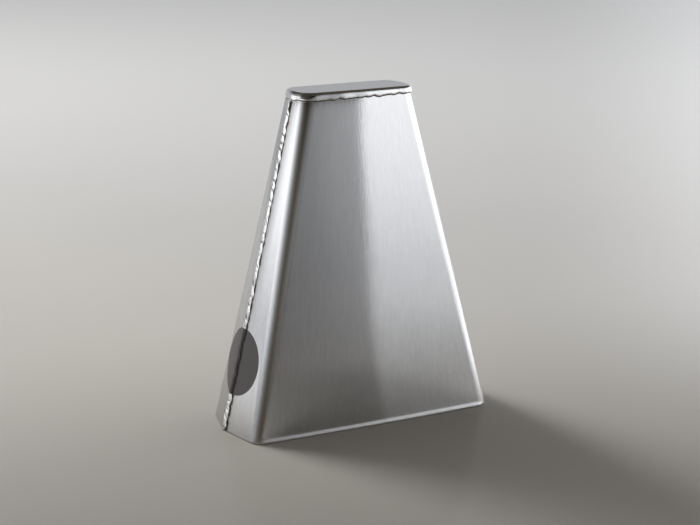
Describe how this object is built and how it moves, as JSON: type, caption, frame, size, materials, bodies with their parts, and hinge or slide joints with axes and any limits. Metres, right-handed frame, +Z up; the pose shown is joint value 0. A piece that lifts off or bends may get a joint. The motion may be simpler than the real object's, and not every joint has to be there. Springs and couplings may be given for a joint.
{
  "type": "hand cowbell",
  "caption": "Hand-held cowbell of folded, brushed steel sheet: a tapered bell with an open oblong mouth, a flat closed crown and welded edges, struck with a stick.",
  "frame": {"origin": "centre of the mouth, in the plane of the mouth rim that the bell stands on", "axes": "+Z up along the bell, from the mouth to the closed crown; -Y out of the struck front panel; +X to the right as seen from the front"},
  "size_m": [0.1707, 0.0672, 0.2],
  "materials": {
    "brushed_steel": "brushed lengthwise, uncoated",
    "weld_steel": "weld bead, ground over at the crown and bright"
  },
  "bodies": {
    "root": {"front_shell": "brushed_steel", "rear_shell": "brushed_steel", "crown_plate": "brushed_steel", "crown_weld": "weld_steel", "left_seam_weld": "weld_steel", "right_seam_weld": "weld_steel"}
  },
  "joints": []
}
